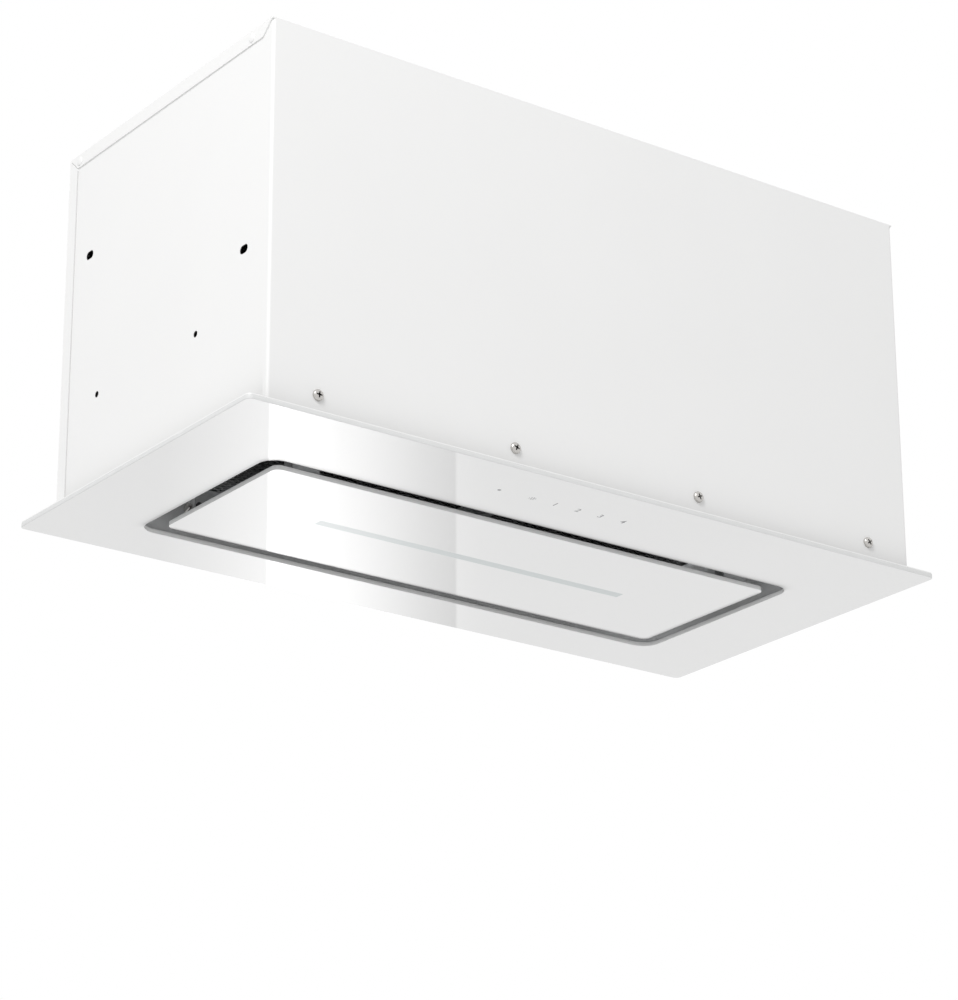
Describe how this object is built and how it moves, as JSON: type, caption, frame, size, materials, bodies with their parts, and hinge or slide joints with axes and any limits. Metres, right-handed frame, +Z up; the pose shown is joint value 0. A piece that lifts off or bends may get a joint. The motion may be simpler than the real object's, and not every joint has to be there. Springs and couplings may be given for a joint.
{
  "type": "ceiling range hood",
  "caption": "Built-in ceiling hood: white steel box with a wide white glass face, hinged glass suction panel with light strip, grease filters, blower and round top outlet.",
  "frame": {"origin": "centre of the glass face's underside", "axes": "+X along the hood, -Y the front with the touch keys, +Z up through the outlet"},
  "size_m": [0.7, 0.348, 0.377],
  "materials": {
    "white_steel": "smooth white powder coat",
    "white_glass": "clear glass over white back paint",
    "zinc_steel": "zinc plated sheet",
    "magnet_grey": "matt",
    "dark_steel": "satin black paint",
    "nickel": "nickel plated",
    "filter_aluminium": "rolled and expanded aluminium",
    "strip_aluminium": "extruded aluminium",
    "motor_steel": "grey enamel",
    "can_aluminium": "drawn can",
    "grey_plastic": "moulded, fine grain",
    "black_plastic": "moulded, fine grain",
    "ivory_plastic": "moulded, fine grain",
    "circuit_board": "green solder mask",
    "white_board": "white solder mask",
    "frosted_lens": "opal",
    "sensor_foam": "conductive foam",
    "black_rubber": "matt"
  },
  "bodies": {
    "casing": {"casing_wrap": "white_steel", "casing_back_top": "white_steel", "casing_rivets": "white_steel", "face_glass": "white_glass", "face_tray": "white_steel", "face_collar": "white_steel", "face_screws": "nickel", "face_nuts": "zinc_steel", "recess_liner": "zinc_steel", "filter_deck": "zinc_steel", "filter_clips": "zinc_steel", "hinge_bracket_left": "zinc_steel", "hinge_bracket_right": "zinc_steel", "catch_magnets": "magnet_grey", "catch_brackets": "zinc_steel", "scroll_left": "grey_plastic", "scroll_right": "grey_plastic", "scroll_screws": "nickel", "motor_body": "motor_steel", "motor_bearings": "nickel", "motor_bracket": "zinc_steel", "motor_bushes": "black_rubber", "bracket_screws": "nickel", "motor_screws": "nickel", "outlet_spigot": "black_plastic", "outlet_screws": "nickel", "damper_pin": "nickel", "capacitor": "can_aluminium", "capacitor_clip": "zinc_steel", "power_box": "ivory_plastic", "power_lid": "ivory_plastic", "lid_screws": "nickel", "power_board": "circuit_board", "led_driver": "ivory_plastic", "touch_board": "circuit_board", "touch_carrier": "black_plastic", "touch_sensors": "sensor_foam", "cable_grommet": "black_rubber"},
    "panel": {"panel_glass": "white_glass", "panel_tray": "dark_steel", "led_lens": "frosted_lens", "led_board": "white_board", "led_housing": "strip_aluminium", "catch_strikers": "zinc_steel", "hinge_pins": "nickel"},
    "filter_left": {"filter_frame_left": "filter_aluminium", "filter_face_left": "filter_aluminium", "filter_mesh_left": "filter_aluminium", "filter_handle_left": "filter_aluminium"},
    "filter_right": {"filter_frame_right": "filter_aluminium", "filter_face_right": "filter_aluminium", "filter_mesh_right": "filter_aluminium", "filter_handle_right": "filter_aluminium"},
    "rotor": {"impeller": "grey_plastic", "motor_shaft": "nickel"},
    "damper_front": {"damper_flap_front": "black_plastic"},
    "damper_rear": {"damper_flap_rear": "black_plastic"}
  },
  "joints": [
    {"name": "panel_hinge", "type": "hinge", "parent": "casing", "child": "panel", "pos_m": [0, 0.0805, 0.012], "axis": [1, 0, 0], "range_deg": [0, 90]},
    {"name": "filter_left_slide", "type": "slide", "parent": "casing", "child": "filter_left", "axis": [0, 0, -1], "range_m": [0, 0.008]},
    {"name": "filter_right_slide", "type": "slide", "parent": "casing", "child": "filter_right", "axis": [0, 0, -1], "range_m": [0, 0.008]},
    {"name": "rotor_spin", "type": "hinge", "parent": "casing", "child": "rotor", "pos_m": [0, 0.0495, 0.19], "axis": [1, 0, 0], "continuous": true},
    {"name": "damper_front_hinge", "type": "hinge", "parent": "casing", "child": "damper_front", "pos_m": [0, -0.007, 0.344], "axis": [-1, 0, 0], "range_deg": [0, 75]},
    {"name": "damper_rear_hinge", "type": "hinge", "parent": "casing", "child": "damper_rear", "pos_m": [0, -0.007, 0.344], "axis": [1, 0, 0], "range_deg": [0, 75]}
  ]
}
